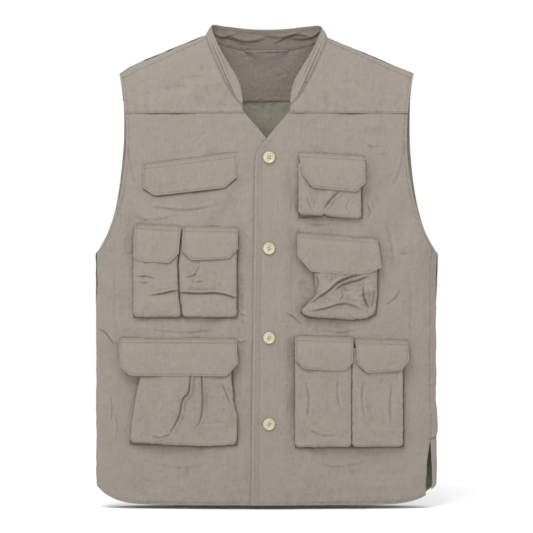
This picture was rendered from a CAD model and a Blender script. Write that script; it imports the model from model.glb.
"""A washed cotton fishing vest, hanging by its back neck loop.

Shapes are worked out in millimetres, with heights measured up from the lowest point of the hem,
and then moved into the frame. The front faces -Y and +X is the wearer's left.
"""
import math

import bpy
import numpy as np
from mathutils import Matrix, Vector
from mathutils.bvhtree import BVHTree


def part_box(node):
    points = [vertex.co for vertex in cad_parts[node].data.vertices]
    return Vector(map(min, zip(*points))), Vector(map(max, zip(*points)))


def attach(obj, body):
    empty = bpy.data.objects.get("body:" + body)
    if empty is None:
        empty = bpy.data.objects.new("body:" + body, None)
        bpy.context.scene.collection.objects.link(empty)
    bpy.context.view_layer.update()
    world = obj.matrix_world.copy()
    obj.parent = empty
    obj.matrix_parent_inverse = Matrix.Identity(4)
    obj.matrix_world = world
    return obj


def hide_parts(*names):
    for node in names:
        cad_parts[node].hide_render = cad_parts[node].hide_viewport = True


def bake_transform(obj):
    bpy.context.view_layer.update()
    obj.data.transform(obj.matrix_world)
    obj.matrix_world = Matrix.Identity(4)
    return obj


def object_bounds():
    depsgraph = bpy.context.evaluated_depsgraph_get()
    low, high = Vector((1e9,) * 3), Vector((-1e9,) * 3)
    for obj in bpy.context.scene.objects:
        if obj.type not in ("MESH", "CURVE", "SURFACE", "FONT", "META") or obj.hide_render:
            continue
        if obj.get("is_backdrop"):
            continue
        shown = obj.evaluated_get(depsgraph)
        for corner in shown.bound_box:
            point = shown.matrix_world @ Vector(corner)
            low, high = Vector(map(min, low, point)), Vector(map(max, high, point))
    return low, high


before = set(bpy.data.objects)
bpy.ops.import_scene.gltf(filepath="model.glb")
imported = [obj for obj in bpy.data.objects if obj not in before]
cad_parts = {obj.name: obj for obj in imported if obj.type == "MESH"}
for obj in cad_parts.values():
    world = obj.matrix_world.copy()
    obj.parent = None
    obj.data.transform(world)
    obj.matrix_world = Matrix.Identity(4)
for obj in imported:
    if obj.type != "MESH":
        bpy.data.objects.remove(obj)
cad_bounds = [list(corner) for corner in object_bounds()]

# ------------------------------------------------------------------ sizes shared with the frame

MM = 0.001
CLOTH = 1.1
THIN_CLOTH = 0.8
FLAP_CLOTH = 1.5
COLLAR_CLOTH = 1.7
LOOP_CLOTH = 1.3
HALF_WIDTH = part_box("back_panel")[1][0] / MM - CLOTH / 2
BACK_DEPTH = 46
FRONT_DEPTH = 50
FRONT_FALL = 0.099
CENTRE_EASE = 20
SIDE_ROUND = 35
CHEST = 545
UNDERARM = 378
NECK = (92, 705)
TIP = (223, 650)
BACK_NECK = 686
FRONT_YOKE_SEAM = 589
BACK_YOKE_SEAM = 610
HEM_RISE = 28
HEM_FLAT = 60
VENT_TOP = 97
V_BOTTOM = 551
V_SLOPE = 35 / 41
COLLAR_END = (36, 603)
OVER_LIFT = 2.9
FACING_LIFT = OVER_LIFT / 2
LEFT_SEAM_X = 249

Z0 = cad_bounds[0][2] / MM
Y0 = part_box("back_panel")[1][1] / MM - BACK_DEPTH - CLOTH / 2

BUTTON_X = 4
BUTTON_BOXES = [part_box(f"button_{number}") for number in (1, 2, 3, 4)]
BUTTON_HEIGHTS = [(low[2] + high[2]) / 2 / MM - Z0 for low, high in BUTTON_BOXES]

HEM_INSET = 3.6
FRONT_GRID = 1.7  # how far apart the points of each grid are
YOKE_GRID = 1.6
BACK_GRID = 5
BACK_YOKE_GRID = 4
LINING_GRID = 3
POCKET_GRID = 1.4
FLAP_GRID = 1.3
FRONT_STITCH_TOP = 548
ARMHOLE_INSET = 4.5
PUCKER = 0.34
SLIT = (4.4, 10.4)  # the middle of each buttonhole's slit, and half its length
NAMES = {1: "left", -1: "right"}


# ------------------------------------------------------------------ the body's surface


def smooth(value, start, end):
    t = np.clip((value - start) / (end - start), 0, 1)
    return t * t * (3 - 2 * t)


def mix(a, b, t):
    return a + (b - a) * t


def bell(value, width):
    """1 at nothing, and down to 0.37 at the width."""
    return np.exp(-((value / width) ** 2))


def plan(points):
    """The x and the height of each point of a grid."""
    return points[..., 0], points[..., 2]


def centres(values):
    """The value at the middle of each cell of a grid."""
    return (values[:-1, :-1] + values[1:, 1:]) / 2


def shoulder_height(x):
    slope = (NECK[1] - TIP[1]) / (TIP[0] - NECK[0])
    return NECK[1] + slope * (NECK[0] - np.abs(x))


def front_depth(x):
    out = np.abs(x)
    eased = np.where(out < 2 * CENTRE_EASE, out * out / (4 * CENTRE_EASE), out - CENTRE_EASE)
    past = np.clip((out - (HALF_WIDTH - SIDE_ROUND)) / SIDE_ROUND, 0, 1)
    return (FRONT_DEPTH - FRONT_FALL * eased) * np.sqrt(1 - past * past)


def back_depth(x):
    return BACK_DEPTH * np.sqrt(np.clip(1 - (x / HALF_WIDTH) ** 2, 0, 1))


def depth_left(x, h):
    rise = np.clip((h - CHEST) / (shoulder_height(x) - CHEST), 0, 1)
    return np.sqrt(1 - rise * rise)


def hem_height(x):
    past = np.clip((np.abs(x) - HEM_FLAT) / (HALF_WIDTH - HEM_FLAT), 0, 1)
    return HEM_RISE * past**8


def armhole_table():
    pulls = np.array([TIP, (200, 560), (212, 440), (HALF_WIDTH, UNDERARM)], float)
    t = np.linspace(0, 1, 200)[:, None]
    curve = ((1 - t) ** 3 * pulls[0] + 3 * (1 - t) ** 2 * t * pulls[1]
             + 3 * (1 - t) * t**2 * pulls[2] + t**3 * pulls[3])
    return curve[::-1]


ARMHOLE = armhole_table()


def armhole_x(h):
    return np.interp(h, ARMHOLE[:, 1], ARMHOLE[:, 0])


def back_armhole_x(h):
    share = np.clip((h - UNDERARM) / (TIP[1] - UNDERARM), 0, 1)
    return np.minimum(HALF_WIDTH, armhole_x(h) + 7 * np.sin(math.pi * share))


def stand_edge(h):
    v_edge = V_SLOPE * (h - V_BOTTOM)
    straight = -mix(23, 17, h / V_BOTTOM)
    half = (v_edge - straight) / 2
    return (v_edge + straight) / 2 + np.sqrt(half * half + 9)


def front_neck(h):
    low = np.minimum(COLLAR_END[0], V_SLOPE * (h - V_BOTTOM))
    share = np.clip((h - COLLAR_END[1]) / (NECK[1] - COLLAR_END[1]), 0, 1)
    return np.where(h < COLLAR_END[1], low, mix(COLLAR_END[0], NECK[0], share**0.72))


def back_neck(x):
    share = np.clip(np.abs(x) / NECK[0], 0, 1)
    return mix(BACK_NECK, NECK[1], share * share)


def angle_of(x):
    return np.arcsin(np.clip(x / HALF_WIDTH, -1, 1))


def body_points(angle, h):
    x = HALF_WIDTH * np.sin(angle)
    y = np.where(np.cos(angle) >= 0, -front_depth(x), back_depth(x))
    return np.stack([x, y * depth_left(x, h), h], axis=-1)


# ------------------------------------------------------------------ noise, folds and puckers


def lattice_noise(x, y, scale, seed):
    """Smooth noise from -1 to 1 whose bumps are about scale apart."""
    lattice = np.random.default_rng(seed).uniform(-1, 1, (64, 64))
    u = x / scale + 1000
    v = y / scale + 1000
    i = np.floor(u).astype(int)
    j = np.floor(v).astype(int)
    a = u - i
    b = v - j
    a = a * a * (3 - 2 * a)
    b = b * b * (3 - 2 * b)
    corner = lambda di, dj: lattice[(i + di) % 64, (j + dj) % 64]
    return mix(mix(corner(0, 0), corner(1, 0), a), mix(corner(0, 1), corner(1, 1), a), b)


def crumple(x, h, size, height, seed):
    """Soft creases at three sizes, each half the one before."""
    total = np.zeros(np.shape(x))
    for octave in range(3):
        scale = size / 2**octave
        warp = 0.5 * scale * lattice_noise(x, h, 2 * scale, seed + 10 + octave)
        ridge = 1 - 2 * np.abs(lattice_noise(x + warp, h - warp, scale, seed + octave))
        total += height / 2.0**octave * (0.8 * ridge + 0.4 * lattice_noise(h, x, scale, seed + 20))
    return total


def smooth_path(points, count=24):
    """A Catmull-Rom curve through the points."""
    points = np.array(points, float)
    padded = np.vstack([2 * points[0] - points[1], points, 2 * points[-1] - points[-2]])
    out = []
    for place in np.linspace(0, len(points) - 1, count):
        k = min(int(place), len(points) - 2)
        t = place - k
        p0, p1, p2, p3 = padded[k:k + 4]
        out.append(0.5 * (2 * p1 + (p2 - p0) * t + (2 * p0 - 5 * p1 + 4 * p2 - p3) * t * t
                          + (3 * p1 - p0 - 3 * p2 + p3) * t**3))
    return np.array(out)


def near_path(x, h, path):
    """Distance from the path, length along it, the side it lies on, and the path's length."""
    path = np.array(path, float)
    best = np.full(np.shape(x), 1e9)
    along = np.zeros(np.shape(x))
    side = np.zeros(np.shape(x))
    start = 0.0
    for a, b in zip(path[:-1], path[1:]):
        d = b - a
        length = math.hypot(*d)
        if length == 0:
            continue
        t = np.clip(((x - a[0]) * d[0] + (h - a[1]) * d[1]) / length**2, 0, 1)
        off = np.hypot(x - a[0] - t * d[0], h - a[1] - t * d[1])
        nearer = off < best
        best = np.where(nearer, off, best)
        along = np.where(nearer, start + t * length, along)
        side = np.where(nearer, np.sign(d[0] * (h - a[1]) - d[1] * (x - a[0])), side)
        start += length
    return best, along, side, start


def fold(x, h, points, height, width):
    """A soft ridge along a curve, with a hollow beside it, fading out at both ends."""
    off, along, side, length = near_path(x, h, smooth_path(points))
    soft = 0.05 * width * width
    signed = (np.hypot(off, soft) - soft) * side
    fade = smooth(along, 0, 0.35 * length) * (1 - smooth(along, 0.65 * length, length))
    ridge = np.exp(-np.maximum(signed / (0.9 * width), -signed / (0.3 * width)))
    hollow = bell(signed + 0.55 * width, 0.35 * width)
    return height * (1.15 * ridge - 0.8 * hollow) * fade * bell(off, 3 * width)


def folded(x, h, folds):
    """All the folds in a list of curves, heights and widths."""
    return sum(fold(x, h, points, height, width) for points, height, width in folds)


def puckers(x, h, path, height, pitch, width, seed):
    """The ripples that a row of stitching pulls into cloth."""
    off, along, side, _ = near_path(x, h, path)
    ripple = lattice_noise(along, 3 * side + 0.35 * off, 0.5 * pitch, seed)
    strength = 0.7 + 0.3 * lattice_noise(along, 0 * along, 6 * pitch, seed + 1)
    return height * strength * ripple * bell(off, width)


def ditch(x, h, path, depth, width=0.8):
    """The groove that a row of stitching sinks into cloth."""
    off = near_path(x, h, path)[0]
    return -depth * bell(off, width)


# ------------------------------------------------------------------ cloth simulation


CLOTH_SETTINGS = {
    "quality": 6, "mass": 0.18, "tension_stiffness": 12, "compression_stiffness": 12, "shear_stiffness": 5,
    "bending_stiffness": 0.08, "air_damping": 3,
}
SETTLING_FRAMES = 24


def link_mesh(name, points, faces, materials=()):
    """A smooth-shaded object, from points in metres."""
    mesh = bpy.data.meshes.new(name)
    mesh.from_pydata(points, [], faces)
    mesh.polygons.foreach_set("use_smooth", [True] * len(mesh.polygons))
    for material in materials:
        mesh.materials.append(material)
    piece = bpy.data.objects.new(name, mesh)
    bpy.context.collection.objects.link(piece)
    return piece


def grid_faces(index):
    return np.stack([index[:-1, :-1], index[:-1, 1:], index[1:, 1:], index[1:, :-1]], -1)


def simulate(middle, pinned, spare, most):
    """Lets a sheet with some cloth to spare settle between its seams.

    middle is a coarse grid in millimetres. Gives how far each point moves along its normal.
    """
    index = np.arange(middle[..., 0].size).reshape(middle.shape[:2])
    faces = grid_faces(index).reshape(-1, 4).tolist()
    cloth = link_mesh("settling", (middle.reshape(-1, 3) * MM).tolist(), faces)
    pins = cloth.vertex_groups.new(name="pins")
    pins.add([int(i) for i in index[pinned]], 1.0, "REPLACE")
    modifier = cloth.modifiers.new("cloth", "CLOTH")
    for key, value in CLOTH_SETTINGS.items():
        setattr(modifier.settings, key, value)
    modifier.settings.vertex_group_mass = "pins"
    modifier.settings.shrink_min = -spare
    modifier.collision_settings.use_collision = False
    modifier.point_cache.frame_start = 1
    modifier.point_cache.frame_end = SETTLING_FRAMES
    for number in range(1, SETTLING_FRAMES + 1):
        bpy.context.scene.frame_set(number)
    settled = cloth.evaluated_get(bpy.context.evaluated_depsgraph_get()).to_mesh()
    places = np.empty(middle.size)
    settled.vertices.foreach_get("co", places)
    bpy.context.scene.frame_set(1)
    mesh = cloth.data
    bpy.data.objects.remove(cloth)
    bpy.data.meshes.remove(mesh)
    moved = places.reshape(middle.shape) / MM - middle
    along = np.nan_to_num(np.sum(moved * normals_of(middle), axis=-1))
    for _ in range(2):
        around = np.pad(along, 1, mode="edge")
        beside = around[:-2, 1:-1] + around[2:, 1:-1] + around[1:-1, :-2] + around[1:-1, 2:]
        along = (along * 2 + beside) / 6
    return most * np.tanh(along / most)


def refine(values, rows, columns):
    """A coarse grid of values, resampled smoothly to a finer one at the given shares."""
    def spline(table, places):
        count = len(table)
        spots = np.clip(places, 0, 1) * (count - 1)
        k = np.clip(spots.astype(int), 0, count - 2)
        t = (spots - k)[:, None]
        at = lambda i: table[np.clip(i, 0, count - 1)]
        p0, p1, p2, p3 = at(k - 1), at(k), at(k + 1), at(k + 2)
        return 0.5 * (2 * p1 + (p2 - p0) * t + (2 * p0 - 5 * p1 + 4 * p2 - p3) * t**2
                      + (3 * p1 - p0 - 3 * p2 + p3) * t**3)
    return spline(spline(values, rows).T, columns).T


# ------------------------------------------------------------------ closed sheets of cloth


def normals_of(middle):
    across = np.gradient(middle, axis=1)
    along = np.gradient(middle, axis=0)
    normal = np.cross(across, along)
    return normal / np.maximum(np.linalg.norm(normal, axis=-1, keepdims=True), 1e-9)


def shares(length, spacing, extra=()):
    """Places from 0 to 1 along a length: close together at both ends, then evenly spaced."""
    count = max(2, round(length / spacing))
    places = np.linspace(0, 1, count + 1)
    ends = np.array([0.4, 1.1, 2.2]) / length
    places = np.concatenate([places, ends, 1 - ends, np.array(extra, float)])
    places = np.unique(np.round(places[(places >= 0) & (places <= 1)], 7))
    keep = np.concatenate([[True], np.diff(places) > 0.25 / length])
    keep[-1] = True
    return places[keep]


def to_frame(points):
    moved = np.array(points, float) * MM
    moved[..., 1] += Y0 * MM
    moved[..., 2] += Z0 * MM
    return moved


def rim_walls(keep, index, under):
    """The faces that close the gap between both sides of a sheet, round each edge that it has."""
    walls = []
    padded = np.pad(keep, 1)
    for r, c in zip(*np.nonzero(keep)):
        ring = [(r, c + 1), (r, c), (r + 1, c), (r + 1, c + 1)]
        beside = [padded[r, c + 1], padded[r + 1, c], padded[r + 2, c + 1], padded[r + 1, c + 2]]
        for k in range(4):
            if not beside[k]:
                a, b = ring[k], ring[(k + 1) % 4]
                walls.append([index[a], index[b], under[b], under[a]])
    return walls


def edge_shares(count):
    """How thick a sheet is from edge to edge, so that its edges come out rounded."""
    return np.concatenate([[0.45, 0.85], np.ones(count - 4), [0.85, 0.45]])


def cloth_sheet(name, middle, thickness, relief, materials, keep=None, wear=None, stain=None, dark=None,
                inner_share=0.3):
    """A closed sheet of cloth over a grid of points. relief moves it along its normals."""
    rows, columns = middle.shape[:2]
    normal = normals_of(middle)
    half = 0.5 * thickness * np.minimum(edge_shares(rows)[:, None], edge_shares(columns)[None, :])
    sides = [middle + normal * (relief + half)[..., None], middle + normal * (relief - half)[..., None]]
    points = np.concatenate([side.reshape(-1, 3) for side in sides])
    index = np.arange(rows * columns).reshape(rows, columns)
    under = index + rows * columns
    if keep is None:
        keep = np.ones((rows - 1, columns - 1), bool)
    top = grid_faces(index)[keep]
    low = grid_faces(under)[keep][:, ::-1]
    faces = np.concatenate([top, low, rim_walls(keep, index, under)])
    used, faces = np.unique(faces, return_inverse=True)
    faces = faces.reshape(-1, 4).tolist()
    piece = link_mesh(name, to_frame(points[used]).tolist(), faces, materials)
    face_slots = np.zeros(len(faces), np.int32)
    face_slots[len(top):len(top) + len(low)] = len(materials) - 1
    piece.data.polygons.foreach_set("material_index", face_slots)
    if wear is not None:
        dark = np.clip(hollow_places(relief, middle) + (0 if dark is None else dark), 0, 1)
    for label, values in (("wear", wear), ("stain", stain), ("dark", dark)):
        attribute = piece.data.attributes.new(label, "FLOAT", "POINT")
        if values is not None:
            marks = np.concatenate([values.ravel(), inner_share * values.ravel()])
            attribute.data.foreach_set("value", marks[used].astype(np.float32))
    piece.data.update()
    return piece


def high_pass(relief):
    """How far each point stands above the cloth close round it."""
    padded = np.pad(relief, 2, mode="edge")
    windows = [padded[i:i + relief.shape[0], j:j + relief.shape[1]] for i in (0, 2, 4) for j in (0, 2, 4)]
    return relief - np.mean(windows, axis=0)


def hollow_places(relief, middle):
    """How much dye each crease has kept: more in narrow ones."""
    spacing = np.linalg.norm(np.diff(middle, axis=0), axis=-1).mean()
    return np.clip(-0.75 * (1.6 / max(spacing, 1.6)) ** 2 * high_pass(relief) - 0.07, 0, 0.32)


def riding(body):
    return lambda piece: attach(piece, body)


def bending():
    """Bends a piece from the body at the shoulder to the front below it."""
    return lambda piece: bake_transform(piece)


def finish(piece, nodes, hang, thread=None):
    """Says what a sheet and its stitching are and stand for, and hangs both on their bodies."""
    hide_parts(*nodes)
    threads = [thread] if thread else []
    for item in [piece, *threads]:
        hang(item)


# ------------------------------------------------------------------ materials

KEPT_DYE = (62, 57, 52)  # what shows in creases and along seams
STAIN = (120, 98, 78)


def node_material(name, roughness):
    material = bpy.data.materials.new(name)
    material.use_nodes = True
    tree = material.node_tree
    shader = tree.nodes["Principled BSDF"]
    shader.inputs["Roughness"].default_value = roughness
    return material, tree, shader


def add_node(tree, kind, **settings):
    node = tree.nodes.new(kind)
    for key, value in settings.items():
        if key in node.inputs:
            node.inputs[key].default_value = value
        else:
            setattr(node, key, value)
    return node


def linear(red, green, blue):
    """An sRGB colour, 0 to 255, as the linear colour that a shader takes."""
    values = []
    for channel in (red, green, blue):
        share = channel / 255
        values.append(share / 12.92 if share < 0.04045 else ((share + 0.055) / 1.055) ** 2.4)
    return (*values, 1)


def stretched(tree, coordinates, scale, stretch, detail=3):
    mapping = add_node(tree, "ShaderNodeMapping", Scale=stretch)
    noise = add_node(tree, "ShaderNodeTexNoise", Scale=scale, Detail=detail)
    tree.links.new(coordinates.outputs["Object"], mapping.inputs["Vector"])
    tree.links.new(mapping.outputs["Vector"], noise.inputs["Vector"])
    return noise.outputs["Fac"]


def blended(tree, kind, factor, first, second):
    node = tree.nodes.new("ShaderNodeMix")
    node.data_type = "RGBA"
    node.blend_type = kind
    for socket, value in ((node.inputs[0], factor), (node.inputs[6], first), (node.inputs[7], second)):
        if isinstance(value, bpy.types.NodeSocket):
            tree.links.new(value, socket)
        else:
            socket.default_value = value
    return node.outputs[2]


def spread(tree, value, low, high, bottom=0.0, top=1.0):
    node = add_node(tree, "ShaderNodeMapRange")
    tree.links.new(value, node.inputs["Value"])
    node.inputs["From Min"].default_value = low
    node.inputs["From Max"].default_value = high
    node.inputs["To Min"].default_value = bottom
    node.inputs["To Max"].default_value = top
    return node.outputs["Result"]


def combined(tree, operation, first, second):
    node = add_node(tree, "ShaderNodeMath", operation=operation)
    for socket, value in zip(node.inputs, (first, second)):
        if isinstance(value, bpy.types.NodeSocket):
            tree.links.new(value, socket)
        else:
            socket.default_value = value
    return node.outputs[0]


def cloth_material(name, colour, warm, cool, faded):
    """Plain-weave washed cotton: threads, slubs, blotches of dye, worn edges and stains."""
    material, tree, shader = node_material(name, 0.93)
    shader.inputs["Sheen Weight"].default_value = 0.12
    shader.inputs["Specular IOR Level"].default_value = 0.2
    place = add_node(tree, "ShaderNodeTexCoord")

    def times(first, second):
        return combined(tree, "MULTIPLY", first, second)

    def plus(first, second):
        return combined(tree, "ADD", first, second)

    tint = stretched(tree, place, 70, (1, 1, 0.6), 3)
    slub_up = stretched(tree, place, 900, (1, 1, 0.05), 2)
    slub_across = stretched(tree, place, 900, (0.05, 0.05, 1), 2)
    slubs = plus(times(slub_up, 1.5), times(slub_across, 0.5))
    grain = stretched(tree, place, 1500, (1, 1, 1), 1)
    light = spread(tree, plus(times(slubs, 0.5), times(grain, 0.35)), 0.4, 0.95, 0.90, 1.10)
    blotch = spread(tree, stretched(tree, place, 26, (1, 1, 1), 4), 0.36, 0.64)
    shade = blended(tree, "MIX", blotch, linear(*warm), linear(*cool))
    shade = blended(tree, "MIX", spread(tree, tint, 0.3, 0.7, 0.35, 0.85), shade, linear(*colour))
    bright = tree.nodes.new("ShaderNodeCombineColor")
    for socket in bright.inputs:
        tree.links.new(light, socket)
    shade = blended(tree, "MULTIPLY", 1.0, shade, bright.outputs[0])
    marks = {label: add_node(tree, "ShaderNodeAttribute", attribute_name=label).outputs["Fac"]
             for label in ("wear", "dark", "stain")}
    marks["wear"] = times(marks["wear"], spread(tree, tint, 0.3, 0.62, 0.4, 1.0))
    for label, mark_colour in (("wear", faded), ("dark", KEPT_DYE), ("stain", STAIN)):
        shade = blended(tree, "MIX", marks[label], shade, linear(*mark_colour))
    tree.links.new(shade, shader.inputs["Base Color"])
    waves = []
    for direction in "XZ":
        wave = add_node(tree, "ShaderNodeTexWave", Scale=340, Distortion=1.2, Detail=1,
                        bands_direction=direction)
        tree.links.new(place.outputs["Object"], wave.inputs["Vector"])
        waves.append(wave.outputs["Fac"])
    weave = plus(times(combined(tree, "MAXIMUM", *waves), 0.4), slubs)
    crinkle = stretched(tree, place, 110, (1, 1, 0.6), 5)
    ridges = combined(tree, "ABSOLUTE", combined(tree, "SUBTRACT", crinkle, 0.5), 0.0)
    bump = add_node(tree, "ShaderNodeBump", Strength=0.35, Distance=0.00025)
    rumple = add_node(tree, "ShaderNodeBump", Strength=0.85, Distance=0.0046)
    tree.links.new(weave, bump.inputs["Height"])
    tree.links.new(ridges, rumple.inputs["Height"])
    tree.links.new(bump.outputs["Normal"], rumple.inputs["Normal"])
    tree.links.new(rumple.outputs["Normal"], shader.inputs["Normal"])
    return material


def horn_material():
    material, tree, shader = node_material("horn", 0.28)
    shader.inputs["Coat Weight"].default_value = 0.25
    place = add_node(tree, "ShaderNodeTexCoord")
    streak = stretched(tree, place, 160, (1, 1, 0.25), 4)
    pale, deep = linear(186, 179, 155), linear(164, 156, 124)
    colour = blended(tree, "MIX", spread(tree, streak, 0.35, 0.7), pale, deep)
    tree.links.new(colour, shader.inputs["Base Color"])
    return material


def thread_material(name, colour, pale):
    material, tree, shader = node_material(name, 0.75)
    place = add_node(tree, "ShaderNodeTexCoord")
    fuzz = stretched(tree, place, 1400, (1, 1, 1), 2)
    tree.links.new(blended(tree, "MIX", fuzz, colour, pale), shader.inputs["Base Color"])
    twist = add_node(tree, "ShaderNodeBump", Strength=0.3, Distance=0.0001)
    tree.links.new(fuzz, twist.inputs["Height"])
    tree.links.new(twist.outputs["Normal"], shader.inputs["Normal"])
    return material


# Each cloth's own colour, a warmer and a cooler blotch of it, and how it looks where it's worn.
CLOTH_OUT = cloth_material("washed_cotton", (132, 124, 116), (135, 125, 118), (127, 123, 112),
                           (158, 150, 141))
CLOTH_FLAP = cloth_material("washed_cotton_pockets", (132, 125, 116), (135, 126, 118), (127, 123, 112),
                            (158, 151, 141))
CLOTH_IN = cloth_material("cotton_inside", (144, 140, 126), (145, 138, 127), (139, 139, 124),
                          (160, 154, 144))
LINING_WARM = cloth_material("collar_lining", (118, 108, 100), (120, 109, 101), (114, 107, 97),
                             (136, 126, 117))
LINING = cloth_material("yoke_lining", (132, 121, 114), (134, 121, 115), (128, 121, 110), (150, 140, 132))
DARK_IN = cloth_material("pocket_inside", (120, 112, 102), (122, 112, 104), (116, 111, 100), (140, 132, 122))
HORN = horn_material()
BUTTON_THREAD = thread_material("button_thread", linear(150, 143, 120), linear(196, 190, 168))
SEAM_THREAD = thread_material("seam_thread", linear(140, 132, 123), linear(172, 163, 152))
PALE_THREAD = thread_material("pale_thread", linear(160, 154, 143), linear(182, 176, 165))


# ------------------------------------------------------------------ stitching


def surface_finder(*pieces):
    """Trees to drop stitches onto, and the pieces they belong to."""
    return [BVHTree.FromObject(piece, bpy.context.evaluated_depsgraph_get()) for piece in pieces]


def drop(trees, x, h, from_back=False):
    """The point of the cloth that shows at x and h, seen from the front or the back."""
    way = Vector((0, -1, 0)) if from_back else Vector((0, 1, 0))
    start = Vector((x * MM, 0.4 if from_back else -0.4, (h + Z0) * MM))
    hits = [tree.ray_cast(start, way) for tree in trees]
    hits = [hit for hit in hits if hit[0] is not None]
    return min(hits, key=lambda hit: hit[3])[:2] if hits else None


def stitch_mesh(name, ends, radius, material):
    """One small spindle of thread from each start to each end."""
    points = []
    faces = []
    for start, end, normal in ends:
        way = end - start
        if way.length < 1e-6:
            continue
        side = way.cross(normal).normalized() * radius
        up = normal * radius
        first = len(points)
        points.append(start - up * 0.6)
        for share in (0.22, 0.78):
            points += [start + way * share + out * 0.9 for out in (side, up, -side, -up)]
        points.append(end - up * 0.6)
        for k in range(4):
            a = first + 1 + k
            b = first + 1 + (k + 1) % 4
            faces += [(first, b, a), (a, b, b + 4, a + 4), (first + 9, a + 4, b + 4)]
    return link_mesh(name, [tuple(point) for point in points], faces, [material])


def stitches(name, trees, paths, material=None, pitch=3.2, length=2.2, radius=0.32, from_back=False):
    """Rows of stitches along paths of x and h, laid on whatever cloth shows there."""
    ends = []
    for path in paths:
        path = np.array(path, float)
        steps = np.concatenate([[0], np.cumsum(np.hypot(*np.diff(path, axis=0).T))])
        start = 0.4 * pitch
        while start + length < steps[-1]:
            across, up = (np.interp([start, start + length], steps, row) for row in path.T)
            spots = [drop(trees, x, h, from_back) for x, h in zip(across, up)]
            start += pitch
            if None in spots or (spots[0][0] - spots[1][0]).length > 2.5 * length * MM:
                continue
            (a, normal_a), (b, normal_b) = spots
            normal = (normal_a + normal_b).normalized()
            lift = normal * radius * MM * 0.35
            ends.append((a + lift, b + lift, normal))
    return stitch_mesh(name, ends, radius * MM, material or SEAM_THREAD)


# ------------------------------------------------------------------ seams drawn on the body
EDGE_ROWS = (5, 9.5)


def raised(x, h):
    """How much higher the right shoulder's seam lies than the left one's."""
    return 4.5 * smooth(-x, 60, 110) * (1 - smooth(-x, 205, 225)) * smooth(h, 600, 680)


def raise_shoulder(middle):
    middle[..., 2] += raised(middle[..., 0], middle[..., 2])
    return middle


def mirrored(path, side):
    path = np.array(path, float) * (side, 1)
    path[:, 1] += raised(path[:, 0], path[:, 1])
    return path


def stand_path(side, inset, low=3, high=584):
    heights = np.linspace(low, high, 90)
    return mirrored(np.stack([stand_edge(heights) + inset, heights], -1), side)


def hem_path(side, inset, start=-14, end=252):
    across = np.linspace(start, end, 60)
    return mirrored(np.stack([across, hem_height(across) + inset], -1), side)


def armhole_path(side, inset, table=armhole_x, top=646):
    heights = np.linspace(384, top, 60)
    return mirrored(np.stack([table(heights) - inset, heights], -1), side)


def yoke_seam_path(side, rise):
    return mirrored([(34, FRONT_YOKE_SEAM + rise), (armhole_x(FRONT_YOKE_SEAM) - 1,
                                                    FRONT_YOKE_SEAM + rise)], side)


def shoulder_path(side, drop):
    return mirrored([(NECK[0] + 3, NECK[1] - drop), (TIP[0] - 4, TIP[1] - drop)], side)


def neck_path(side, inset):
    heights = np.linspace(COLLAR_END[1] - 2, NECK[1] - 4, 40)
    return mirrored(np.stack([front_neck(heights) + inset, heights], -1), side)


def sewn(x, h, rows, height=0.3, pitch=8, width=5, seed=1):
    """Puckers and a groove along each row of stitching."""
    total = np.zeros(np.shape(x))
    for order, path in enumerate(rows):
        total += puckers(x, h, path, height, pitch, width, seed + 7 * order)
        total += ditch(x, h, path, 0.42, 0.9)
    return total


def stitch_shade(x, h, rows, depth=0.22):
    """Stitching holds its dye, so it shows as a fine darker line."""
    return sum(depth * bell(near_path(x, h, path)[0], 0.9) for path in rows)


def crease_shade(x, h, folds, depth=0.3):
    """The fine dark line in the bottom of each sharp crease."""
    total = np.zeros(np.shape(x))
    for points, height, width in folds:
        off, along, side, length = near_path(x, h, smooth_path(points))
        fade = smooth(along, 0, 0.25 * length) * (1 - smooth(along, 0.75 * length, length))
        line = bell(off * side + 0.4 * width, 1.1)
        flank = bell(off * side + 1.2 * width, width) if height > 1.7 else 0
        total += depth * min(1, 0.45 * height) * (line + 0.5 * flank) * fade
    return total


def gap_shade(x, h):
    """The shadow in the narrow gap between the two pockets at mid right."""
    gap = np.interp(h, *zip(*TWIN_GAP))
    between = smooth(h, 280, 286) * (1 - smooth(h, 402, 410))
    return 0.95 * bell(x - gap, 1.9) * between


def pocket_shade(x, h, side):
    """The darker line where a pocket or flap is sewn to the front."""
    total = np.zeros(np.shape(x))
    for name, spec in POCKETS.items():
        if spec["left"][0][1] * side < 0:
            continue
        left = [(edge, height) for height, edge in reversed(spec["left"])]
        right = [(edge, height) for height, edge in spec["right"]]
        middle = [point for point in spec["bottom"] if left[-1][0] < point[0] < right[0][0]]
        off = near_path(x - 1, h + 1, left + middle + right)[0]
        total = np.maximum(total, 0.6 * bell(off, 1.8) + 0.16 * np.exp(-off / 4))
    for name, corners in FLAPS.items():
        if corners[0][0] * side > 0:
            off = near_path(x, h, corners[:2])[0]
            total = np.maximum(total, 0.4 * bell(off, 1.3))
    if side < 0:
        off = near_path(x - 0.8, h + 1.4, flap_outline("chest_right")[::6])[0]
        total = np.maximum(total, 0.6 * bell(off, 1.7) + 0.15 * np.exp(-off / 4))
    return np.maximum(total, gap_shade(x, h))


def worn(relief, edge=0.22):
    """How faded each point is: high spots, and the outermost edge of the piece."""
    high = np.clip(0.5 * high_pass(relief) - 0.02, 0, 0.16)
    rim = np.zeros(relief.shape)
    rim[:2] = rim[-2:] = edge
    rim[:, :2] = rim[:, -2:] = edge
    return np.maximum(high, rim)


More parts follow.
